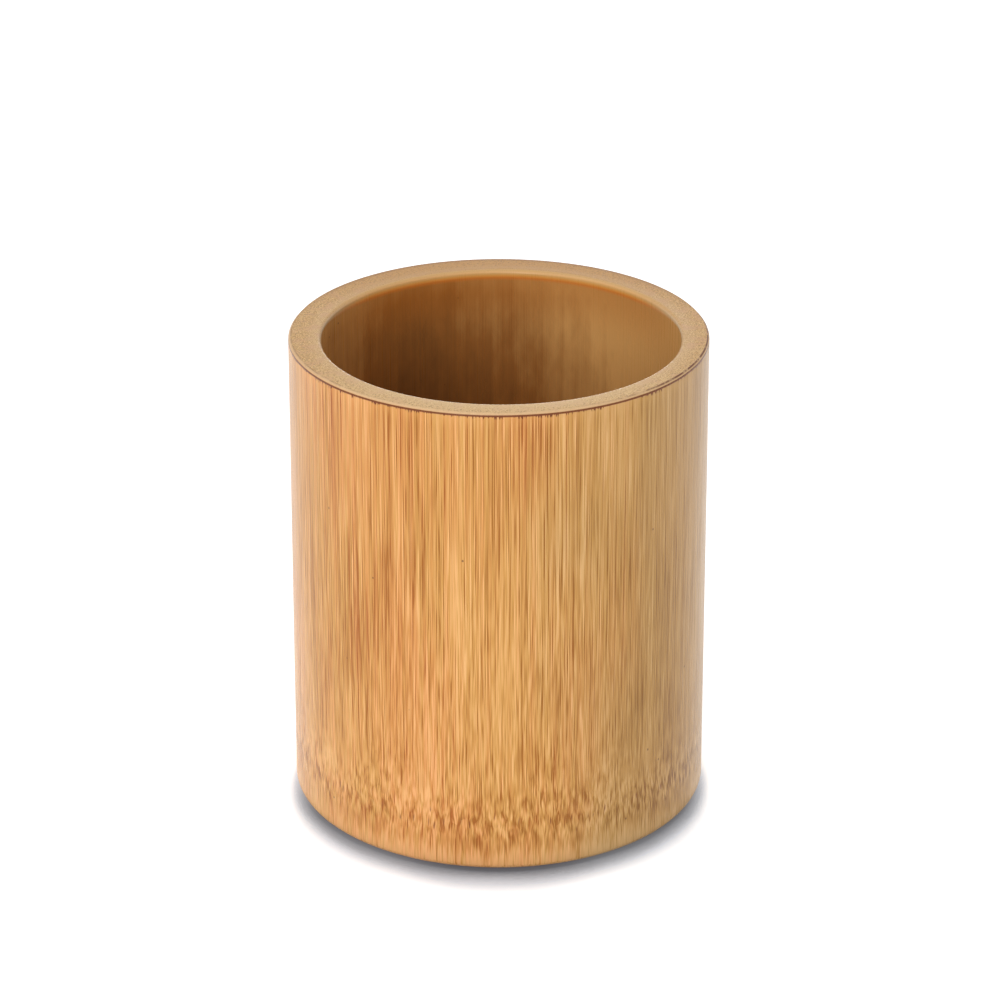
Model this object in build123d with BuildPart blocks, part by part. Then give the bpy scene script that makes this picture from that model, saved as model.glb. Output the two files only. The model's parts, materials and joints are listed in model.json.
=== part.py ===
from build123d import *

import os

# Pen holder cup turned from one length of bamboo culm, open at the top and closed by its own node.
#
# The cup is a thick-walled tube of culm with the green skin turned away. The node that crossed the
# culm just above the cut end is kept: its diaphragm is the floor that the pens stand on. The short
# stub of hollow under the diaphragm is closed by a laminated bamboo disc, let into a rebate from
# below, and a felt pad is glued in a recess in that disc, so that the cup rests on felt.
#
# Frame: millimetres, +Z up along the cup's axis, origin at the centre of the resting face.

# Culm wall.
CULM_LENGTH = 100.0  # from the cut foot to the top of the rim
RIM_RADIUS = 42.5  # outside of the wall at the rim
FOOT_RADIUS = 43.2  # the culm is a little wider at its lower, root end
WALL_THICKNESS = 6.2  # at the rim, on average; the bore was trued, and is straight
HOLLOW_X = 0.5  # the culm's hollow is off its middle, so the wall is thinnest in front
HOLLOW_Y = -1.2
FELT_STAND = 0.4  # how far the felt pad stands out below the wall's foot
RIM_INNER_ROUND = 0.8
RIM_OUTER_CHAMFER = 0.5
FOOT_OUTER_ROUND = 1.4
FOOT_INNER_CHAMFER = 0.4

# Node diaphragm: dished on top, arched below, flared into the wall and rooted in it.
FLOOR_HEIGHT = 13.2  # top of the floor beside the flare
FLOOR_DISH = 0.8  # how much lower the floor is at the middle
FLOOR_SHOULDER = 0.5  # flat ring between the dish and the flare
FLARE_RADIUS = 3.0  # concave sweep from the floor up to the bore
DIAPHRAGM_THICKNESS = 4.2  # at the middle
ARCH_RADIUS = 30.0  # where the arched underside starts
ROOT_DEPTH = 0.5  # how far the diaphragm's edge is rooted in the wall
GROWTH_LINE = 0.02  # keeps the diaphragm's edge off the wall's

# Base disc and felt pad.
REBATE_DEPTH = 6.3  # up from the wall's foot
REBATE_LEDGE = 2.0  # how far the rebate is wider than the bore
GLUE_LINE = 0.05
DISC_INSET = 0.3  # the disc's underside lies this far above the wall's foot
DISC_CHAMFER = 0.4
PAD_RADIUS = 32.5
PAD_CLEARANCE = 0.4  # between the pad's edge and its recess
PAD_THICKNESS = 1.8
PAD_EDGE_ROUND = 0.3

BORE_RADIUS = RIM_RADIUS - WALL_THICKNESS
REBATE_RADIUS = BORE_RADIUS + REBATE_LEDGE
FOOT_Z = FELT_STAND
RIM_Z = FOOT_Z + CULM_LENGTH
LEDGE_Z = FOOT_Z + REBATE_DEPTH
ROOT_RADIUS = BORE_RADIUS + ROOT_DEPTH
ROOT_TOP_Z = FLOOR_HEIGHT + FLARE_RADIUS
DIAPHRAGM_RADIUS = ROOT_RADIUS - GROWTH_LINE
FLARE_START = BORE_RADIUS - FLARE_RADIUS
DISH_RADIUS = FLARE_START - FLOOR_SHOULDER
FLOOR_MIDDLE_Z = FLOOR_HEIGHT - FLOOR_DISH
ARCH_MIDDLE_Z = FLOOR_MIDDLE_Z - DIAPHRAGM_THICKNESS
DISC_BOTTOM_Z = FOOT_Z + DISC_INSET
HOLLOW = (HOLLOW_X, HOLLOW_Y)


# Culm wall: the turned outside, the hollow, the diaphragm's root and the rebate, then the four free
# edges as abrasive paper left them.
with BuildPart() as culm_wall:
    with BuildSketch(Plane.XZ):
        Polygon(
            (0, FOOT_Z),
            (FOOT_RADIUS, FOOT_Z),
            (RIM_RADIUS, RIM_Z),
            (0, RIM_Z),
            align=None,
        )
    revolve(axis=Axis.Z)
    with BuildSketch(Plane.XY.offset(RIM_Z)):
        with Locations(HOLLOW):
            Circle(BORE_RADIUS)
    extrude(amount=-CULM_LENGTH, mode=Mode.SUBTRACT)
    with BuildSketch(Plane.XY.offset(ROOT_TOP_Z)):
        with Locations(HOLLOW):
            Circle(ROOT_RADIUS)
    extrude(amount=LEDGE_Z - ROOT_TOP_Z, mode=Mode.SUBTRACT)
    with BuildSketch(Plane.XY.offset(LEDGE_Z)):
        Circle(REBATE_RADIUS)
    extrude(amount=-REBATE_DEPTH, mode=Mode.SUBTRACT)
    fillet(culm_wall.edges().group_by(Axis.Z)[-1].sort_by(SortBy.RADIUS)[0], RIM_INNER_ROUND)
    chamfer(culm_wall.edges().group_by(Axis.Z)[-1].sort_by(SortBy.RADIUS)[-1], RIM_OUTER_CHAMFER)
    chamfer(culm_wall.edges().group_by(Axis.Z)[0].sort_by(SortBy.RADIUS)[0], FOOT_INNER_CHAMFER)
    fillet(culm_wall.edges().group_by(Axis.Z)[0].sort_by(SortBy.RADIUS)[-1], FOOT_OUTER_ROUND)
culm_wall.part.label = "culm_wall"

# Node diaphragm: it closes the hollow above the ledge, and its flare runs out flush with the bore.
with BuildPart() as node_diaphragm:
    with BuildSketch(Plane((HOLLOW_X, HOLLOW_Y, 0), x_dir=(1, 0, 0), z_dir=(0, -1, 0))):
        with BuildLine():
            Polyline(
                (ARCH_RADIUS, LEDGE_Z),
                (DIAPHRAGM_RADIUS, LEDGE_Z),
                (DIAPHRAGM_RADIUS, ROOT_TOP_Z),
                (BORE_RADIUS, ROOT_TOP_Z),
            )
            TangentArc((FLARE_START, FLOOR_HEIGHT), (BORE_RADIUS, ROOT_TOP_Z), tangent=(1, 0))
            Line((FLARE_START, FLOOR_HEIGHT), (DISH_RADIUS, FLOOR_HEIGHT))
            TangentArc((0, FLOOR_MIDDLE_Z), (DISH_RADIUS, FLOOR_HEIGHT), tangent=(1, 0))
            Line((0, FLOOR_MIDDLE_Z), (0, ARCH_MIDDLE_Z))
            TangentArc((0, ARCH_MIDDLE_Z), (ARCH_RADIUS, LEDGE_Z), tangent=(1, 0))
        make_face()
    revolve(axis=Axis((HOLLOW_X, HOLLOW_Y, 0), (0, 0, 1)))
node_diaphragm.part.label = "node_diaphragm"

# Base disc: drops in from below against the ledge, with a recess for the felt.
with BuildPart() as base_disc:
    with BuildSketch(Plane.XY.offset(DISC_BOTTOM_Z)):
        Circle(REBATE_RADIUS - GLUE_LINE)
    extrude(amount=LEDGE_Z - DISC_BOTTOM_Z)
    chamfer(base_disc.edges().group_by(Axis.Z)[0], DISC_CHAMFER)
    with BuildSketch(Plane.XY):
        Circle(PAD_RADIUS + PAD_CLEARANCE)
    extrude(amount=PAD_THICKNESS, mode=Mode.SUBTRACT)
base_disc.part.label = "base_disc"

# Felt pad: fills the recess and stands out below the wall's foot.
with BuildPart() as felt_pad:
    with BuildSketch(Plane.XY):
        Circle(PAD_RADIUS)
    extrude(amount=PAD_THICKNESS)
    fillet(felt_pad.edges().group_by(Axis.Z)[0], PAD_EDGE_ROUND)
felt_pad.part.label = "felt_pad"

os.makedirs("parts", exist_ok=True)
export_step(culm_wall.part, "parts/culm_wall.step")
export_step(node_diaphragm.part, "parts/node_diaphragm.step")
export_step(base_disc.part, "parts/base_disc.step")
export_step(felt_pad.part, "parts/felt_pad.step")
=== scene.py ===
import json
import math

import bpy
import numpy as np
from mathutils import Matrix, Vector, noise


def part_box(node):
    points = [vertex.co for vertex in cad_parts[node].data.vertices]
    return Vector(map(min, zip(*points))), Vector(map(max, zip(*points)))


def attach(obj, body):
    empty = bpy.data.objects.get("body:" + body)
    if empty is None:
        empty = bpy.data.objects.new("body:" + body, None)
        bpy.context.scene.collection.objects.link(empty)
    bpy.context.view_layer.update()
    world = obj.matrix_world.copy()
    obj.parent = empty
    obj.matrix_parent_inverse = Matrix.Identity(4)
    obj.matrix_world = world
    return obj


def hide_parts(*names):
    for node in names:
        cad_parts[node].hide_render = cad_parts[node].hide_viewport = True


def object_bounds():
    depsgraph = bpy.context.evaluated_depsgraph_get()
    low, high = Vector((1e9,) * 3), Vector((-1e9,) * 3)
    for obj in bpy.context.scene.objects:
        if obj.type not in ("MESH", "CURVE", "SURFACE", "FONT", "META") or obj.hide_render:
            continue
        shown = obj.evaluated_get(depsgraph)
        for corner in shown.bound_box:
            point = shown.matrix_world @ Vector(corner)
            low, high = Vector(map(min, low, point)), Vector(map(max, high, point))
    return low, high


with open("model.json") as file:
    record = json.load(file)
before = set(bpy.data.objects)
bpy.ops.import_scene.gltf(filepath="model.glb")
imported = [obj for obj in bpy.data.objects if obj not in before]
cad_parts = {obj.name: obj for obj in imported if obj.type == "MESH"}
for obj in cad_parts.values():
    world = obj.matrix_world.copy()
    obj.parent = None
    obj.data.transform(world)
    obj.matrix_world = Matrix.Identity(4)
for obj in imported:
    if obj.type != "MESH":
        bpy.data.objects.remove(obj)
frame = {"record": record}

# The looks of a bamboo pen holder cup: the culm wall, its node diaphragm, the laminated disc under it
# and the felt pad are rebuilt as detailed meshes inside the CAD box, with materials made of nodes.
# Lengths are in metres in the meshes and in millimetres in the materials.

MM = 0.001
cad_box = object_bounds()

# Sizes, in metres, read from the frame where it holds them.
wall_low, wall_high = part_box("culm_wall")
floor_low, floor_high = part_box("node_diaphragm")
disc_low, disc_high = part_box("base_disc")
pad_low, pad_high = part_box("felt_pad")
hollow_mount = next(m for m in frame["record"]["mounts"] if m["name"] == "cup_bore")

BORE_R = hollow_mount["dims"]["r_mm"] * MM
HOLLOW_X, HOLLOW_Y = hollow_mount["pos_m"][:2]  # the hollow's middle, off the cup's axis
RIM_R = 42.5 * MM
RIM_Z = wall_high.z
RIM_CHAMFER = 0.5 * MM
RIM_ROUND = 0.8 * MM
CHAMFER_EDGE = 0.06 * MM  # how far the sanding softens the edges of the rim's chamfer
FOOT_R = 43.2 * MM
FOOT_Z = wall_low.z
FOOT_ROUND = 1.4 * MM
FOOT_CHAMFER = 0.4 * MM
NODE_Z = 11.2 * MM  # the height at which the culm's node line runs round the outside
NODE_ZONE = 24.0 * MM  # above the foot, where the mesh is finer for the node's short grain
FLOOR_R = (floor_high.x - floor_low.x) / 2
FLOOR_TOP_Z = floor_high.z
FLOOR_GAP = 0.02 * MM
FLOOR_FLARE = 3.0 * MM
FLOOR_DISH = 0.8 * MM
FLOOR_ARCH = 1.5 * MM
FLOOR_ARCH_R = 30.0 * MM
SOCKET_R = FLOOR_R + FLOOR_GAP  # of the socket in the wall that holds the diaphragm
LEDGE_Z = disc_high.z
REBATE_R = disc_high.x + 0.05 * MM  # of the rebate in the wall that holds the laminated disc
DISC_CHAMFER = 0.4 * MM
STRIP_WIDTH = 7.0 * MM  # of each bamboo strip in the laminated disc
JOINT_WIDTH = 0.7 * MM
JOINT_DEPTH = 0.12 * MM
PAD_CLEARANCE = 0.4 * MM
PAD_EDGE = 0.3 * MM

WALL_SEGMENTS = 840
FLOOR_SEGMENTS = 240
BOARD_SEGMENTS = 720
FELT_SEGMENTS = 360


# ---------------------------------------------------------------- meshes

def mesh_object(name, points, faces):
    """A smooth-shaded mesh object from points in metres and faces of point numbers."""
    mesh = bpy.data.meshes.new(name)
    mesh.from_pydata(points, [], faces)
    mesh.validate()
    mesh.shade_smooth()
    piece = bpy.data.objects.new(name, mesh)
    bpy.context.scene.collection.objects.link(piece)
    return piece


def spread(start, end, count):
    """count points from start up to, and without, end, each a (radius, height) pair."""
    return [(start[0] + (end[0] - start[0]) * i / count, start[1] + (end[1] - start[1]) * i / count)
            for i in range(count)]


def arc(centre, radius, start, count, turn=90.0):
    """count points of an arc from the start angle, in degrees, over turn, without its last point."""
    angles = [math.radians(start + turn * i / count) for i in range(count)]
    return [(centre[0] + radius * math.cos(a), centre[1] + radius * math.sin(a)) for a in angles]


def turned(name, profile, segments, move):
    """The profile's (radius, height) points turned once round +Z, anticlockwise seen from above.

    A profile that starts and ends on the axis makes a solid disc, and any other a closed ring.
    move(x, y, z, row) gives how far a point shifts along its radius and along +Z.
    """
    solid = profile[0][0] == 0.0
    rows = profile[1:-1] if solid else profile
    points = []
    for row, (radius, height) in enumerate(rows):
        for k in range(segments):
            angle = math.tau * k / segments
            across, ahead = math.cos(angle), math.sin(angle)
            out, up = move(radius * across, radius * ahead, height, row)
            points.append(((radius + out) * across, (radius + out) * ahead, height + up))
    faces = []
    for row in range(len(rows) - 1 if solid else len(rows)):
        here, above = row * segments, (row + 1) % len(rows) * segments
        for k in range(segments):
            after = (k + 1) % segments
            faces.append((here + k, here + after, above + after, above + k))
    if solid:
        last = (len(rows) - 1) * segments
        points += [(0.0, 0.0, profile[0][1]), (0.0, 0.0, profile[-1][1])]
        bottom, top = len(points) - 2, len(points) - 1
        for k in range(segments):
            after = (k + 1) % segments
            faces.append((bottom, after, k))
            faces.append((last + k, last + after, top))
    return mesh_object(name, points, faces)


def into_hollow(piece, share=None):
    """Moves the piece sideways onto the hollow's axis; share(radius, height) is how much of the way."""
    for point in piece.data.vertices:
        part = 1.0 if share is None else share(math.hypot(point.co.x, point.co.y), point.co.z)
        point.co.x += part * HOLLOW_X
        point.co.y += part * HOLLOW_Y


def unroll(piece, zones, segments):
    """The map that the colours are laid on: each zone of rows as two half turns, one over the other.

    zones is a list of (first row, last row, share of the map's height of each half turn).
    """
    margin = 0.003  # of the map's size, clear at its edges
    filled = 0.96  # of each half turn's height, so that it stays clear of the next
    layer = piece.data.uv_layers.new(name="OFBake")
    span = {}
    low = 0.0
    for first, last, share in zones:
        step = share * filled / (last - first)
        for half in range(2):
            for row in range(first, last):
                span[row, half] = (low + step * (row - first), low + step * (row + 1 - first))
            low += share
    coords = np.zeros((len(piece.data.loops), 2))
    in_half = segments // 2
    for face in piece.data.polygons:
        row, k = divmod(face.index, segments)
        half, column = divmod(k, in_half)
        left, right = column / in_half, (column + 1) / in_half
        bottom, top = span[row, half]
        corners = ((left, bottom), (right, bottom), (right, top), (left, top))
        for loop, (u, v) in zip(face.loop_indices, corners):
            coords[loop] = (u, v)
    coords = margin + (1 - 2 * margin) * coords
    layer.data.foreach_set("uv", coords.ravel())


def hills(x, y, z, across, along=1.0, seed=0.0):
    """Smooth noise from -1 to 1 whose hills are across metres wide and along metres tall."""
    return noise.noise(Vector((x / across + seed, y / across, z / along)))


def fibre_relief(x, y, z):
    """How deep the sanded fibres and the node's knots lie under the turned surface, in metres."""
    near_node = math.exp(-((z - NODE_Z) / (6 * MM)) ** 2)
    length = (30.0 * (1 - near_node) + 2.5 * near_node) * MM
    groove = 0.020 * hills(x, y, z, 0.9 * MM, length)
    swell = 0.015 * hills(x, y, z, 6 * MM, 30 * MM)
    knots = 0.030 * near_node * (1 + hills(x, y, z, 2.2 * MM, 3.5 * MM))
    return (0.035 + groove + swell + knots) * MM


def wall_inside_share(radius, height):
    """How far a point of the wall goes with the hollow: not at all at the outside and the rebate,
    all the way in the bore and the diaphragm's socket, and in between on the rim's flat top."""
    tolerance = 0.01 * MM
    if height < LEDGE_Z + tolerance and radius > SOCKET_R + tolerance:
        return 0.0
    flat_out = RIM_R - RIM_CHAMFER
    flat_in = BORE_R + RIM_ROUND
    return min(1.0, max(0.0, (flat_out - radius) / (flat_out - flat_in)))


def build_wall():
    """The culm wall, from its foot round the outside, over the rim, down the bore and back."""
    soft = CHAMFER_EDGE
    taper = (FOOT_R - RIM_R) / (RIM_Z - FOOT_Z)
    foot_out = FOOT_R - taper * FOOT_ROUND
    node_top = (FOOT_R - taper * NODE_ZONE, FOOT_Z + NODE_ZONE)
    chamfer_z = RIM_Z - RIM_CHAMFER
    foot = spread((REBATE_R + FOOT_CHAMFER, FOOT_Z), (foot_out - FOOT_ROUND, FOOT_Z), 4)
    outside = arc((foot_out - FOOT_ROUND, FOOT_Z + FOOT_ROUND), FOOT_ROUND, -90.0, 7)
    outside += spread((foot_out, FOOT_Z + FOOT_ROUND), node_top, 24)
    outside += spread(node_top, (RIM_R, chamfer_z - soft), 34)
    outside += [(RIM_R, chamfer_z - soft), (RIM_R - soft / 3, chamfer_z + soft / 2)]
    top = [(RIM_R - RIM_CHAMFER + soft / 2, RIM_Z - soft / 3)]
    top += spread((RIM_R - RIM_CHAMFER - soft, RIM_Z), (BORE_R + RIM_ROUND, RIM_Z), 6)
    top += arc((BORE_R + RIM_ROUND, RIM_Z - RIM_ROUND), RIM_ROUND, 90.0, 9)
    inside = spread((BORE_R, RIM_Z - RIM_ROUND), (BORE_R, FLOOR_TOP_Z), 16)
    hidden = [(BORE_R, FLOOR_TOP_Z), (SOCKET_R, FLOOR_TOP_Z), (SOCKET_R, LEDGE_Z), (REBATE_R, LEDGE_Z)]
    hidden += [(REBATE_R, FOOT_Z + FOOT_CHAMFER)]
    profile = foot + outside + top + inside + hidden
    first_outside = len(foot)
    first_top = first_outside + len(outside)
    first_inside = first_top + len(top)
    first_hidden = first_inside + len(inside)

    def move(x, y, z, row):
        if first_outside <= row < first_top:
            return -fibre_relief(x, y, z), 0.0
        if first_top < row < first_inside:
            return 0.0, -0.012 * (1 + hills(x, y, 0.0, 0.7 * MM)) * MM
        if first_inside <= row < first_hidden:
            return 0.012 * (1 + hills(x, y, z, 1.6 * MM, 40 * MM)) * MM, 0.0
        return 0.0, 0.0

    wall = turned("bamboo_wall", profile, WALL_SEGMENTS, move)
    into_hollow(wall, wall_inside_share)
    unroll(wall, [
        (0, first_outside, 0.02),
        (first_outside, first_top, 0.31),
        (first_top, first_inside, 0.05),
        (first_inside, first_hidden, 0.10),
        (first_hidden, len(profile), 0.02),
    ], WALL_SEGMENTS)
    return wall


def build_floor():
    """The node's diaphragm: arched below, dished above, and flared up into the bore."""
    flare_r = BORE_R - FLOOR_FLARE
    dish_r = flare_r - 0.5 * MM
    face_z = FLOOR_TOP_Z - FLOOR_FLARE
    arch_shares = [i / 16 for i in range(17)]
    dish_shares = [1 - i / 40 for i in range(41)]
    under = [(FLOOR_ARCH_R * share, LEDGE_Z + FLOOR_ARCH * (1 - share ** 2)) for share in arch_shares]
    side = [(FLOOR_R, LEDGE_Z), (FLOOR_R, FLOOR_TOP_Z), (BORE_R, FLOOR_TOP_Z)]
    flare = arc((flare_r, FLOOR_TOP_Z), FLOOR_FLARE, 0.0, 10, turn=-90.0)[1:] + [(flare_r, face_z)]
    dish = [(dish_r * share, face_z - FLOOR_DISH * (1 - share ** 2)) for share in dish_shares]
    profile = under + side + flare + dish
    first_dish = len(profile) - len(dish)

    def move(x, y, z, row):
        if row < first_dish:
            return 0.0, 0.0
        wrinkle = hills(x, y, 0.0, 5 * MM) + 0.5 * hills(x, y, 0.0, 2 * MM, seed=7.0)
        off_edge = min(1.0, (dish_r - math.hypot(x, y)) / (3 * MM))
        return 0.0, -0.08 * (1.2 + wrinkle) * MM * off_edge

    floor = turned("node_floor", profile, FLOOR_SEGMENTS, move)
    into_hollow(floor)
    return floor


def build_board():
    """The laminated disc: strips glued edge to edge, with a shallow joint line between them."""
    recess_r = pad_high.x + PAD_CLEARANCE
    recess_z = pad_high.z
    radius, low, top, chamfer = disc_high.x, disc_low.z, disc_high.z, DISC_CHAMFER
    profile = [(0.0, recess_z)] + spread((recess_r / 24, recess_z), (recess_r, recess_z), 23)
    profile += [(recess_r, recess_z), (recess_r, low + chamfer / 2), (recess_r + chamfer / 2, low)]
    profile += spread((recess_r + chamfer, low), (radius - chamfer, low), 12)
    profile += [(radius - chamfer, low), (radius, low + chamfer), (radius, top - chamfer)]
    profile += [(radius - chamfer, top)] + spread((radius - 2 * chamfer, top), (0.0, top), 12)
    profile += [(0.0, top)]

    def move(x, y, z, row):
        if z >= low + chamfer / 4:
            return 0.0, 0.0
        off_joint = abs(x % STRIP_WIDTH - STRIP_WIDTH / 2)
        groove = max(0.0, 1.0 - off_joint / (JOINT_WIDTH / 2)) * JOINT_DEPTH
        grain = 0.015 * (1 + hills(x, y, z, 0.8 * MM, 0.8 * MM)) * MM
        return 0.0, groove + grain

    return turned("base_board", profile, BOARD_SEGMENTS, move)


def build_felt():
    """The felt pad: a cut disc of pressed wool with a soft edge and an uneven face."""
    radius, low, top, soft = pad_high.x, pad_low.z, pad_high.z, PAD_EDGE
    profile = [(0.0, low)] + spread((radius / 40, low), (radius - soft, low), 38)
    profile += arc((radius - soft, low + soft), soft, -90.0, 5)
    profile += spread((radius, low + soft), (radius, top - soft), 3)
    profile += arc((radius - soft, top - soft), soft, 0.0, 4)
    profile += spread((radius - soft, top), (0.0, top), 12) + [(0.0, top)]

    def move(x, y, z, row):
        tuft = 1 + 0.6 * hills(x, y, z, 1.1 * MM, 1.1 * MM) + 0.4 * hills(x, y, z, 0.5 * MM, 0.5 * MM, 3.0)
        on_face = z < low + soft
        return -0.04 * tuft * MM, 0.045 * tuft * MM if on_face else 0.0

    return turned("felt_disc", profile, FELT_SEGMENTS, move)


# ---------------------------------------------------------------- nodes

WHITE = (1.0, 1.0, 1.0, 1.0)


def srgb(red, green, blue):
    """A colour in screen values, 0 to 255, as the linear colour that a shader takes."""
    def linear(c):
        c /= 255
        return c / 12.92 if c <= 0.04045 else ((c + 0.055) / 1.055) ** 2.4
    return (linear(red), linear(green), linear(blue), 1.0)


class Nodes:
    """A node tree under construction. Each method adds nodes and gives the last one's output."""

    def __init__(self, tree):
        self.tree = tree

    def new(self, kind):
        return self.tree.nodes.new(kind)

    def feed(self, socket, value):
        if isinstance(value, bpy.types.NodeSocket):
            self.tree.links.new(value, socket)
        else:
            socket.default_value = value

    def math(self, operation, a, b=0.0):
        node = self.new("ShaderNodeMath")
        node.operation = operation
        self.feed(node.inputs[0], a)
        self.feed(node.inputs[1], b)
        return node.outputs[0]

    def add(self, *values):
        total = values[0]
        for value in values[1:]:
            total = self.math("ADD", total, value)
        return total

    def times(self, *values):
        product = values[0]
        for value in values[1:]:
            product = self.math("MULTIPLY", product, value)
        return product

    def greater(self, a, b):
        return self.math("MAXIMUM", a, b)

    def size(self, value):
        return self.math("ABSOLUTE", value)

    def length(self, a, b):
        return self.math("SQRT", self.add(self.times(a, a), self.times(b, b)))

    def centred(self, value, amount):
        """A 0 to 1 value as one from -amount to +amount."""
        return self.times(self.add(value, -0.5), 2 * amount)

    def fade(self, value, low, high, at_low=0.0, at_high=1.0):
        """A smooth step from at_low at low to at_high at high, which may be the lesser of the two."""
        node = self.new("ShaderNodeMapRange")
        node.interpolation_type = "SMOOTHSTEP"
        names = ("Value", "From Min", "From Max", "To Min", "To Max")
        for name, setting in zip(names, (value, low, high, at_low, at_high)):
            self.feed(node.inputs[name], setting)
        return node.outputs[0]

    def split(self, colour):
        node = self.new("ShaderNodeSeparateColor")
        self.feed(node.inputs[0], colour)
        return node.outputs

    def mix(self, share, a, b, blend="MIX"):
        node = self.new("ShaderNodeMix")
        node.data_type = "RGBA"
        node.blend_type = blend
        self.feed(node.inputs["Factor"], share)
        self.feed(node.inputs["A"], a)
        self.feed(node.inputs["B"], b)
        return node.outputs["Result"]

    def ramp(self, value, *stops):
        """A blend of colours over value, from (place, colour) stops in rising order."""
        node = self.new("ShaderNodeValToRGB")
        elements = node.color_ramp.elements
        while len(elements) < len(stops):
            elements.new(0.5)
        for element, (place, colour) in zip(elements, stops):
            element.position = place
            element.color = colour
        self.feed(node.inputs[0], value)
        return node.outputs[0]

    def tones(self, value, pale, middle, dark, low=0.0, high=1.0):
        """From pale at low, over middle halfway, to dark at high."""
        return self.ramp(value, (low, pale), ((low + high) / 2, middle), (high, dark))


class Paint(Nodes):
    """A material under construction, whose x, y, z and radii are in millimetres."""

    def __init__(self, name):
        self.material = bpy.data.materials.new(name)
        self.material.use_nodes = True
        super().__init__(self.material.node_tree)
        self.shader = self.tree.nodes["Principled BSDF"]
        scaled = self.new("ShaderNodeVectorMath")
        scaled.operation = "SCALE"
        scaled.inputs["Scale"].default_value = 1 / MM
        self.feed(scaled.inputs[0], self.new("ShaderNodeTexCoord").outputs["Object"])
        parts = self.new("ShaderNodeSeparateXYZ")
        self.feed(parts.inputs[0], scaled.outputs[0])
        self.x, self.y, self.z = parts.outputs
        self.radius = self.length(self.x, self.y)
        self.in_hollow = self.length(self.add(self.x, -HOLLOW_X / MM), self.add(self.y, -HOLLOW_Y / MM))

    def at(self, across, along, x=None, y=None, z=None):
        """The point in units of across mm sideways and along mm upwards."""
        node = self.new("ShaderNodeCombineXYZ")
        self.feed(node.inputs[0], self.times(self.x if x is None else x, 1 / across))
        self.feed(node.inputs[1], self.times(self.y if y is None else y, 1 / across))
        self.feed(node.inputs[2], self.times(self.z if z is None else z, 1 / along))
        return node.outputs[0]

    def texture(self, kind, point, **settings):
        node = self.new(kind)
        node.inputs["Scale"].default_value = 1.0
        for name, setting in settings.items():
            node.inputs[name.capitalize()].default_value = setting
        self.feed(node.inputs["Vector"], point)
        return node.outputs

    def noise(self, point, detail=1.0):
        return self.texture("ShaderNodeTexNoise", point, detail=detail)[0]

    def noises(self, point, detail=1.0):
        """Three noises that have nothing to do with each other."""
        return self.split(self.texture("ShaderNodeTexNoise", point, detail=detail)[1])

    def cells(self, point):
        """The distance from the nearest of many scattered middles, and a random tone for each."""
        outputs = self.texture("ShaderNodeTexVoronoi", point)
        return outputs["Distance"], self.split(outputs["Color"])[0]

    def set(self, **settings):
        """Puts constants on the shader's own sockets, with _ for the spaces in their names."""
        for name, setting in settings.items():
            self.shader.inputs[name.replace("_", " ")].default_value = setting

    def finish(self, colour, roughness, height, relief):
        """The shader's colour and roughness, and its bump: height, 0 to 1, over relief mm."""
        bump = self.new("ShaderNodeBump")
        bump.inputs["Distance"].default_value = relief * MM
        self.feed(bump.inputs["Height"], height)
        self.feed(self.shader.inputs["Base Color"], colour)
        self.feed(self.shader.inputs["Roughness"], roughness)
        self.feed(self.shader.inputs["Normal"], bump.outputs[0])
        return self.material


# ---------------------------------------------------------------- the culm's material

# The wall's sizes in millimetres. In these functions p is the culm's Paint, which also keeps the
# layers that later ones use. A tone runs from 0, pale, to 1, dark.
BORE_MM = BORE_R / MM
RIM_MM = RIM_R / MM
TOP_MM = RIM_Z / MM
LEVEL = 1000.0  # mm: a noise this tall is the same at all heights


def on_fibres(p, across, along=1.0, run=None, other=False):
    """The point by its fibre, in units of across mm and of along mm or a run. other is for a second
    pattern of the same kind, which has nothing to do with the first."""
    if other:
        return p.at(across, along, p.fibre_y, p.fibre_x, run)
    return p.at(across, along, p.fibre_x, p.fibre_y, run)


def find_node(p):
    """Where the node is: its line wanders, and its knotted grain reaches further up in places."""
    p.rise = p.add(p.z, p.centred(p.noise(p.at(14.0, LEVEL)), 2.4), -NODE_Z / MM)
    reach_up = p.fade(p.noise(p.at(18.0, LEVEL)), 0.40, 0.60, 7.0, 20.0)
    reach_down = 6.0
    p.off_node = p.greater(p.math("DIVIDE", p.rise, reach_up), p.times(p.rise, -1 / reach_down))
    p.knotted = p.fade(p.off_node, 1.0, 0.1)


def find_fibres(p):
    """Each fibre's path, and how far along it a point lies, in stretches that are short at the node."""
    drift = p.noises(p.at(9.0, 55.0))
    curl = p.noises(p.at(2.4, 5.0))
    bend = p.times(p.knotted, 0.38)
    p.fibre_x = p.add(p.x, p.centred(drift[0], 0.25), p.times(p.centred(curl[0], 1.0), bend))
    p.fibre_y = p.add(p.y, p.centred(drift[1], 0.25), p.times(p.centred(curl[1], 1.0), bend))
    knots = p.times(p.math("ARCTANGENT", p.times(p.rise, 1 / 5.0)), 1.5)
    p.long_run = p.add(p.times(p.z, 0.010), knots)
    p.short_run = p.add(p.times(p.z, p.add(0.19, p.times(p.z, -0.0005))), knots)


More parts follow.
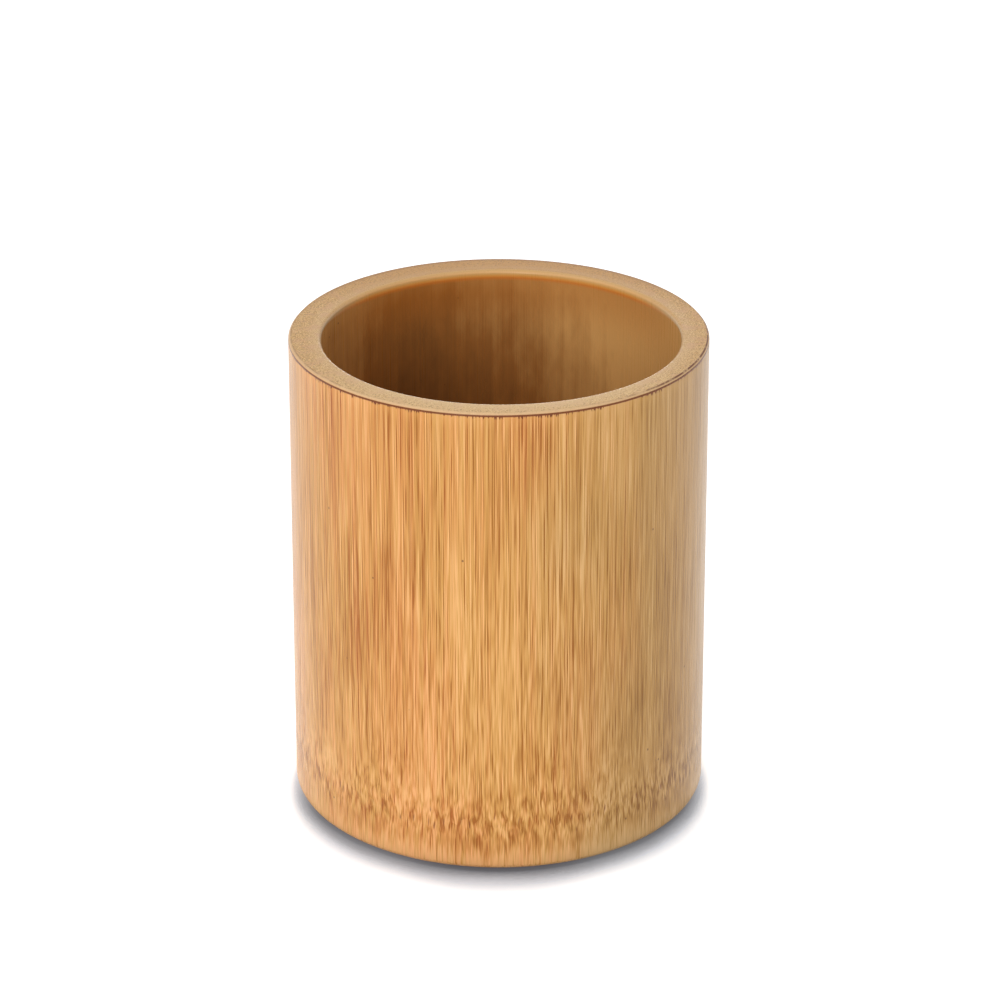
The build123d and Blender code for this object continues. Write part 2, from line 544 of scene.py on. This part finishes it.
def find_streaks(p):
    """Straight hairlines, and broader streaks and bands that come and go along their length."""
    p.fine = p.noise(on_fibres(p, 0.23, run=p.add(p.long_run, p.times(p.z, 0.012))), 0.0)
    p.broken_fine = p.noise(on_fibres(p, 0.23, run=p.short_run, other=True), 0.0)
    p.streak = p.noise(on_fibres(p, 0.42, run=p.long_run), 0.0)
    come_and_go = p.noises(on_fibres(p, 0.4, run=p.short_run), 0.0)
    p.fine_strength = p.fade(come_and_go[0], 0.30, 0.70, 0.3, 1.8)
    p.streak_strength = p.fade(come_and_go[1], 0.30, 0.70, 0.2, 1.8)
    p.dark_hair = p.times(p.fade(p.streak, 0.34, 0.22), p.streak_strength)
    p.band = p.noise(on_fibres(p, 2.6, 3.0, p.short_run))
    p.fibre = p.noise(on_fibres(p, 0.7, 4.0, p.long_run), 0.0)


def find_node_marks(p):
    """At the node: drawn-out grains, and a broken dark line with short dark dashes in it."""
    grain, grain_tone = p.cells(on_fibres(p, 0.88, 4.0))
    dark_middle = p.fade(grain, 0.30, 0.60, -0.17, 0.0)
    pale_edge = p.fade(grain, 0.62, 0.78, 0.0, 0.24)
    p.grain = p.times(p.knotted, p.add(dark_middle, pale_edge, p.centred(grain_tone, 0.16)))
    off_line = p.add(p.rise, p.centred(p.fibre, 3.0))
    p.line = p.fade(p.size(off_line), 1.8, 0.2)
    p.below_line = p.times(p.fade(off_line, 1.0, -1.5), p.fade(p.band, 0.42, 0.60))
    dash, dash_tone = p.cells(on_fibres(p, 0.72, 4.4))
    near_line = p.fade(p.size(off_line), 2.2, 0.9)
    p.dash = p.times(p.fade(dash, 0.30, 0.14), p.fade(dash_tone, 0.25, 0.45), near_line)


def find_stain(p):
    """One soft darker stain, at the left of the front and a little below the middle."""
    across = p.times(p.add(p.x, 28.8, p.centred(p.fibre, 2.0)), 1 / 4.0)
    along = p.times(p.add(p.z, -47.0, p.centred(p.fibre, 16.0)), 1 / 16.0)
    p.stain = p.times(p.fade(p.length(across, along), 1.0, 0.2), p.fade(p.y, -20.0, -24.0))


def fibre_tone(p):
    """The fibres' share of the tone: fainter at both sides and under the rim, but not at the node."""
    right = p.fade(p.x, 12.0, 34.0, 1.0, 0.66)
    left = p.fade(p.x, -34.0, -12.0, 0.90, 1.0)
    under_rim = p.fade(p.z, TOP_MM - 0.5, TOP_MM - 3.0, 0.55, 1.0)
    contrast = p.greater(p.times(right, left, under_rim), p.fade(p.size(p.rise), 7.0, 2.5))
    streaks = p.add(
        p.times(p.centred(p.fine, 0.70), p.fine_strength, p.fade(p.z, 20.0, 80.0, 0.78, 1.0)),
        p.times(p.centred(p.broken_fine, 0.46), p.fade(p.z, 40.0, 80.0, 1.0, 0.55)),
        p.times(p.centred(p.streak, 0.08), p.streak_strength),
        p.times(p.dark_hair, 0.12),
        p.grain,
    )
    return p.times(streaks, contrast)


def side_tone(p):
    """The tone of the turned outside: fibres, stripes, flames, clouds, the stain, node and rim, and painted
    light that makes it paler towards the foot.
    """
    stripe = p.noise(on_fibres(p, 1.5, run=p.times(p.z, 0.008)))
    clump = p.noise(on_fibres(p, 2.2, 3.6))
    flame = p.noise(p.at(8.0, 26.0, z=p.add(p.z, p.centred(p.fibre, 9.0))))  # jumps between fibres
    return p.add(
        0.505,
        fibre_tone(p),
        p.centred(stripe, 0.20),
        p.centred(flame, 0.17),
        p.times(p.centred(clump, 0.30), p.fade(p.off_node, 1.2, 0.5)),
        p.centred(p.cloud[0], 0.24),
        p.times(p.stain, 0.24),
        p.times(p.line, 0.16),
        p.times(p.below_line, 0.13),
        # Painted light: paler towards the foot, against the shade that the floor casts there.
        p.fade(p.z, 7.0, 1.2, 0.0, -0.52),
        p.fade(p.z, TOP_MM - 4.0, TOP_MM - 0.6, 0.0, -0.12),
    )


def side_colour(p):
    """The turned outside: golden and orange in clouds, and more olive and darker to the right, partly the
    culm's own tint and partly painted shade.
    """
    tone = side_tone(p)
    golden = p.tones(tone, srgb(236, 181, 114), srgb(208, 151, 75), srgb(160, 98, 18))
    orange = p.tones(tone, srgb(240, 175, 114), srgb(212, 143, 73), srgb(164, 88, 16))
    olive = p.tones(tone, srgb(208, 168, 112), srgb(182, 138, 72), srgb(134, 88, 14))
    dash_brown = srgb(122, 62, 20)
    by_fibre = p.noise(on_fibres(p, 0.9, run=p.long_run, other=True), 0.0)
    orange_share = p.add(
        p.fade(p.cloud[1], 0.36, 0.64, 0.1, 0.7),
        p.times(p.stain, 0.3),
        p.centred(by_fibre, 0.8),
    )
    # More olive and darker to the right: partly the culm's own olive tint, partly painted shade on the side
    # away from the light.
    olive_and_shade_share = p.fade(p.add(p.x, p.centred(p.cloud[2], 16.0)), 2.0, 28.0, 0.0, 0.90)
    colour = p.mix(orange_share, golden, orange)
    colour = p.mix(olive_and_shade_share, colour, olive)
    return p.mix(p.times(p.dash, 0.78), colour, dash_brown)


def bore_colour(p):
    """The bore: browner and smoother, with wide faint streaks. Painted light makes it paler towards the
    opening, on the right and at the far left, and orange near the rim at the back; it is also darker a
    little left of the middle.
    """
    wide_streak = p.noise(p.at(2.6, 90.0), 2.0)
    mottle = p.noise(p.at(3.0, 7.0), 2.0)
    tone = p.add(
        # Painted light: paler towards the opening, on the right and at the far left. Darker a little left
        # of the middle.
        p.fade(p.z, TOP_MM - 34.0, TOP_MM - 3.0, 0.60, 0.36),
        p.fade(p.z, TOP_MM - 6.0, TOP_MM - 1.5, 0.0, -0.16),
        p.fade(p.x, -4.0, 32.0, 0.05, -0.50),
        p.fade(p.x, -22.0, -33.0, 0.0, -0.22),
        p.fade(p.size(p.add(p.x, 18.0)), 14.0, 2.0, 0.0, 0.16),
        p.centred(wide_streak, 0.20),
        p.centred(mottle, 0.16),
        p.centred(p.fine, 0.08),
    )
    brown = p.tones(tone, srgb(238, 184, 112), srgb(172, 115, 58), srgb(106, 72, 40))
    orange = srgb(206, 124, 46)
    # Painted warm light: orange near the rim at the back.
    near_rim = p.times(p.fade(p.z, TOP_MM - 14.0, TOP_MM - 2.0), p.at_back)
    return p.mix(p.times(near_rim, 0.45), brown, orange)


def find_rim(p):
    """Where the sanded rim's colour lies: a little way down into the bore, and furthest down at the back,
    where it carries a painted band of light.
    """
    p.at_back = p.fade(p.y, 0.0, 24.0)
    p.depth = p.add(TOP_MM, p.times(p.z, -1.0))
    dip = p.fade(p.in_hollow, BORE_MM + 1.0, BORE_MM + 3.0, p.add(0.95, p.times(p.at_back, 1.5)), 0.42)
    p.lit_share = p.times(p.fade(p.in_hollow, BORE_MM + 0.9, BORE_MM + 0.6), p.at_back)
    p.on_top = p.fade(p.depth, dip, p.add(dip, -0.27, p.times(p.lit_share, -0.9)))
    p.outward = p.fade(p.in_hollow, BORE_MM + 0.8, BORE_MM + 4.0)
    end, end_tone = p.cells(p.at(0.55, 1.6))
    p.end = p.times(p.fade(end, 0.46, 0.20), p.outward, p.fade(end_tone, 0.0, 1.0, 0.4, 1.0))


def rim_colour(p):
    """The sanded rim: cut fibre ends that thin out towards the bore, and a painted highlight along its
    inner edge.
    """
    pale, tan = srgb(235, 195, 134), srgb(203, 153, 91)
    pinkish, front_tint_and_light, back_tint_and_shade = srgb(220, 170, 122), srgb(248, 212, 154), srgb(206, 152, 84)
    end_brown, painted_edge_highlight = srgb(138, 90, 48), srgb(255, 236, 200)
    speckle = p.centred(p.noise(p.at(0.26, 2.0), 0.0), 4.6)
    speckle = p.add(0.5, p.times(speckle, p.add(0.25, p.times(p.outward, 0.75))))
    patch = p.noise(p.at(3.0, 9.0), 1.0)
    colour = p.mix(speckle, pale, tan)
    colour = p.mix(p.fade(patch, 0.45, 0.65, 0.0, 0.6), colour, pinkish)
    # Lighter at the front and browner at the back: partly the rim's own colour, partly painted light and
    # shade.
    colour = p.mix(p.fade(p.y, -12.0, -42.0, 0.0, 0.40), colour, front_tint_and_light)
    colour = p.mix(p.fade(p.y, 8.0, 40.0, 0.0, 0.85), colour, back_tint_and_shade)
    colour = p.mix(p.times(p.end, 0.55), colour, end_brown)
    # Painted highlight: pale cream just below the flat top, mostly on the rounded inner edge.
    colour = p.mix(p.fade(p.z, TOP_MM - 0.15, TOP_MM - 0.6, 0.0, 0.85), colour, painted_edge_highlight)
    # At the back, the inner edge takes the painted band of light.
    return p.mix(p.lit_share, colour, lit_band(p))


def lit_band(p):
    """Painted light on the rim's inner edge at the back, which goes from tan at its top over pale to
    orange.
    """
    depth_of_band = 2.0
    return p.ramp(
        p.times(p.depth, 1 / depth_of_band),
        (0.05, srgb(226, 180, 118)),
        (0.22, srgb(255, 202, 136)),
        (0.40, srgb(255, 202, 126)),
        (0.60, srgb(255, 182, 92)),
        (0.85, srgb(244, 144, 58)),
    )


def scorch_and_back_shade(p, colour):
    """Scorched lines at both edges of the rim's chamfer: a fine one above, and a dark one below with
    short drips between the fibres. At the back, the rim is browner towards its outer edge: partly its own
    colour, partly painted shade."""
    chamfer_tan, scorch_and_shade_brown = srgb(236, 196, 150), srgb(108, 46, 10)
    chamfer_out = p.fade(p.radius, RIM_MM - 0.62, RIM_MM - 0.5)
    on_chamfer = p.times(chamfer_out, p.fade(p.z, TOP_MM - 0.5, TOP_MM - 0.4))
    colour = p.mix(p.times(on_chamfer, 0.7), colour, chamfer_tan)
    under_edge = p.add(p.depth, -0.49)
    drip = p.add(0.44, p.times(p.fade(p.fine, 0.50, 0.70), p.fade(p.band, 0.4, 0.6), 0.6))
    lower = p.times(p.fade(under_edge, -0.10, 0.02), p.fade(p.math("DIVIDE", under_edge, drip), 1.0, 0.55))
    from_line = p.size(p.add(p.radius, -RIM_MM, p.fade(p.x, 6.0, 38.0, 0.58, 0.38)))
    broken = p.fade(p.noise(p.at(2.2, 50.0), 3.0), 0.36, 0.52, 0.25, 1.0)
    strength = p.times(p.fade(p.y, -39.0, -24.0, 0.1, 1.0), p.fade(p.x, -40.0, 36.0, 0.45, 1.3))
    upper = p.times(p.fade(from_line, 0.26, 0.05), p.on_top, broken, strength)
    lines = p.greater(p.times(lower, 0.94), p.times(upper, 0.7))
    lines = p.times(lines, p.fade(p.radius, RIM_MM - 1.2, RIM_MM - 0.9))
    # At the back, browner towards the outer edge: partly the rim's own colour, partly painted shade.
    back_edge_tone_and_shade = p.times(p.fade(p.radius, RIM_MM - 1.9, RIM_MM - 0.7), p.on_top, p.fade(p.y, 4.0, 34.0))
    return p.mix(p.greater(lines, p.times(back_edge_tone_and_shade, 0.38)), colour, scorch_and_shade_brown)


def specked(p, colour):
    """A few tiny dark specks."""
    speck, speck_tone = p.cells(p.at(5.5, 6.5))
    speck = p.times(p.fade(speck, 0.050, 0.025), p.fade(speck_tone, 0.4, 0.5))
    return p.mix(p.times(speck, 0.7), colour, srgb(96, 56, 30))


def culm_paint():
    """Turned and sanded culm: fibre bundles along Z, wavy and short at the node, cut ends at the rim."""
    p = Paint("culm_bamboo")
    find_node(p)
    find_fibres(p)
    find_streaks(p)
    find_node_marks(p)
    find_stain(p)
    find_rim(p)
    p.cloud = p.noises(p.at(24.0, 60.0))
    outside_bore = p.fade(p.in_hollow, BORE_MM + 0.2, BORE_MM + 0.8)
    colour = p.mix(outside_bore, bore_colour(p), side_colour(p))
    colour = p.mix(p.on_top, colour, rim_colour(p))
    colour = specked(p, scorch_and_back_shade(p, colour))
    height = p.add(
        p.times(p.fine, 0.6),
        p.times(p.dark_hair, -0.3),
        p.times(p.dash, -1.0),
        p.times(p.end, p.on_top, -0.8),
    )
    roughness = p.add(
        0.30,
        p.centred(p.fine, 0.08),
        p.times(p.dark_hair, 0.05),
        p.times(p.on_top, p.outward, 0.16),
    )
    p.set(Specular_IOR_Level=0.33)
    return p.finish(colour, roughness, height, 0.02)


# ---------------------------------------------------------------- the other materials

def diaphragm_paint():
    """The node's inner skin: brown and mottled, with faint rings from turning and a pale middle."""
    p = Paint("node_skin")
    pale_middle = srgb(206, 168, 118)
    blotch = p.noise(p.at(6.0, 6.0), 3.0)
    wrinkle = p.noise(p.at(1.3, 1.3), 3.0)
    ring = p.math("SINE", p.add(p.times(p.in_hollow, 4.0), p.centred(blotch, 3.0)))
    tone = p.add(0.5, p.centred(blotch, 0.8), p.centred(wrinkle, 0.35), p.times(ring, 0.05))
    colour = p.tones(tone, srgb(196, 146, 94), srgb(170, 118, 70), srgb(132, 84, 46), 0.1, 0.9)
    colour = p.mix(p.times(p.fade(p.in_hollow, 10.0, 2.0), 0.35), colour, pale_middle)
    height = p.add(p.times(wrinkle, 0.7), p.times(ring, 0.12))
    return p.finish(colour, p.add(0.5, p.centred(wrinkle, 0.2)), height, 0.06)


def board_paint():
    """Laminated bamboo: strips of differing tone, fine grain along +Y and dark bundle dashes."""
    p = Paint("laminated_bamboo")
    joint_brown = srgb(120, 78, 44)
    strips_along = p.add(p.times(p.x, MM / STRIP_WIDTH), 0.5)
    strip = p.math("FLOOR", strips_along)
    strip_tone = p.new("ShaderNodeTexWhiteNoise")
    strip_tone.noise_dimensions = "1D"
    p.feed(strip_tone.inputs["W"], strip)
    shift = p.times(strip, 31.7)  # so that the grain doesn't go on from strip to strip
    grain = p.noise(p.at(0.5, 0.5, y=p.add(p.times(p.y, 0.03), shift)), 2.0)
    dash = p.fade(p.cells(p.at(0.7, 0.7, y=p.add(p.times(p.y, 0.05), shift)))[0], 0.36, 0.14)
    tone = p.add(0.2, p.times(strip_tone.outputs[0], 0.35), p.centred(grain, 0.5), p.times(dash, 0.3))
    colour = p.tones(tone, srgb(238, 206, 156), srgb(214, 168, 110), srgb(160, 108, 60))
    joint = p.fade(p.size(p.centred(p.math("FRACT", strips_along), 1.0)), 0.93, 0.99)
    colour = p.mix(p.times(joint, 0.6), colour, joint_brown)
    height = p.add(p.times(grain, 0.6), p.times(dash, -0.3))
    return p.finish(colour, p.add(0.5, p.centred(grain, 0.15)), height, 0.03)


def felt_paint():
    """Pressed wool felt: matted fibres of a few dark tones, with a soft sheen."""
    p = Paint("wool_felt")
    warp = p.noises(p.at(1.6, 1.6), 2.0)
    wx = p.add(p.x, p.centred(warp[0], 2.2))
    wy = p.add(p.y, p.centred(warp[1], 2.2))
    along_x = p.noise(p.at(0.9, 0.25, wx, p.times(wy, 6.0)), 2.0)
    along_y = p.noise(p.at(0.9, 0.25, p.times(wx, 6.0), wy), 2.0)
    tuft = p.noise(p.at(3.0, 3.0), 3.0)
    matted = p.greater(along_x, along_y)
    tone = p.add(0.35, p.centred(matted, 1.2), p.centred(tuft, 0.3))
    colour = p.tones(tone, srgb(46, 42, 38), srgb(84, 76, 68), srgb(128, 116, 102), 0.2, 1.0)
    p.set(Sheen_Weight=0.4, Sheen_Roughness=0.5, Specular_IOR_Level=0.2)
    return p.finish(colour, p.add(0.92, p.centred(matted, 0.06)), matted, 0.15)


def floor_paint():
    """Pale matt floor that glows a little to stay white, with a painted shadow close under the cup, in
    front of it and at its sides.
    """
    p = Paint("pale_floor")
    beside = p.fade(p.size(p.x), 6.0, 24.0)
    in_front = p.fade(p.y, 12.0, -22.0)
    # Painted shadow: darker where the cup is near, strongest in front.
    close = p.new("ShaderNodeAmbientOcclusion")
    close.samples = 8
    reach = p.fade(p.y, 8.0, -46.0, 2.3 * MM, 16.0 * MM)
    p.feed(close.inputs["Distance"], p.times(reach, p.add(1.0, p.times(beside, -0.20))))
    strength = p.add(1.0, p.times(beside, -0.08))
    shadow = p.times(p.fade(close.outputs["AO"], 0.88, 0.53), in_front, strength)
    shade = p.ramp(shadow, (0.0, srgb(252, 252, 252)), (0.3, srgb(205, 209, 216)), (1.0, srgb(98, 99, 104)))
    p.feed(p.shader.inputs["Base Color"], shade)
    p.feed(p.shader.inputs["Emission Color"], shade)
    p.set(Emission_Strength=0.6, Roughness=0.9, Specular_IOR_Level=0.0)
    return p.material


# ---------------------------------------------------------------- pieces

def place(piece, paint, node, slot):
    """The piece takes its material, joins the root body and hides the CAD node that it stands for. slot is
    not used.
    """
    piece.data.materials.append(paint)
    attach(piece, "root")
    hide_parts(node)


place(build_wall(), culm_paint(), "culm_wall", "bamboo_culm")
place(build_floor(), diaphragm_paint(), "node_diaphragm", "bamboo_node")
place(build_board(), board_paint(), "base_disc", "bamboo_board")
felt = build_felt()
place(felt, felt_paint(), "felt_pad", "felt")


# ---------------------------------------------------------------- floor, light and camera

def studio_floor():
    """A wide plain floor at the cup's foot."""
    bpy.ops.mesh.primitive_plane_add(size=6.0, location=(0.0, 0.0, cad_box[0][2]))
    floor = bpy.context.object
    floor.name = "studio_floor"
    floor.data.materials.append(floor_paint())


def direction(azimuth, elevation):
    """A unit vector. Azimuth 0 is the camera's side and 90 is the right, in degrees."""
    turn, lift = math.radians(azimuth), math.radians(elevation)
    return Vector((math.sin(turn) * math.cos(lift), -math.cos(turn) * math.cos(lift), math.sin(lift)))


def facing(piece, aim, distance, middle):
    """Puts a lamp or camera at distance from the middle, the way that aim points, looking back."""
    piece.location = middle + aim * distance
    piece.rotation_euler = aim.to_track_quat("Z", "Y").to_euler()
    bpy.context.scene.collection.objects.link(piece)


def soft_box(name, aim, distance, size, watts):
    """A square area light that faces the cup's middle from the way that aim points."""
    light = bpy.data.lights.new(name, "AREA")
    light.shape = "SQUARE"
    light.size = size
    light.energy = watts
    light.color = (1.0, 0.99, 0.98)
    facing(bpy.data.objects.new(name, light), aim, distance, Vector((0.0, 0.0, RIM_Z / 2)))


def studio_world():
    """White surroundings, with a dark flag at the right and a paler one at the left, which let the
    cup's sides fall off."""
    world = bpy.data.worlds.new("studio")
    bpy.context.scene.world = world
    world.use_nodes = True
    nodes = Nodes(world.node_tree)
    towards = nodes.new("ShaderNodeTexCoord").outputs["Generated"]
    light = WHITE
    for aim, grey in ((direction(62.0, -8.0), (0.03, 0.032, 0.035, 1.0)),
                      (direction(-80.0, -8.0), (0.22, 0.22, 0.22, 1.0))):
        match = nodes.new("ShaderNodeVectorMath")
        match.operation = "DOT_PRODUCT"
        match.inputs[1].default_value = aim
        nodes.feed(match.inputs[0], towards)
        flag = nodes.ramp(match.outputs["Value"], (0.2, WHITE), (0.85, grey))
        light = nodes.mix(1.0, light, flag, "MULTIPLY")
    background = world.node_tree.nodes["Background"]
    background.inputs["Strength"].default_value = 0.85
    nodes.feed(background.inputs["Color"], light)


def photo_camera():
    """A long lens from a little above, as the cup is usually shown."""
    data = bpy.data.cameras.new("camera")
    data.lens = 122.8
    data.sensor_width = 36.0
    camera = bpy.data.objects.new("camera", data)
    facing(camera, direction(0.0, 24.37), 703.6 * MM, Vector((0.23, 0.0, 63.05)) * MM)
    bpy.context.scene.camera = camera


studio_floor()
studio_world()
soft_box("front_key", direction(-14.0, 22.0), distance=1.2, size=0.5, watts=3.5)
soft_box("high_left", direction(-80.0, 55.0), distance=1.1, size=0.4, watts=1.0)
soft_box("low_back", direction(178.0, 5.0), distance=1.1, size=0.15, watts=0.4)
photo_camera()
bpy.context.scene.view_settings.view_transform = "Standard"
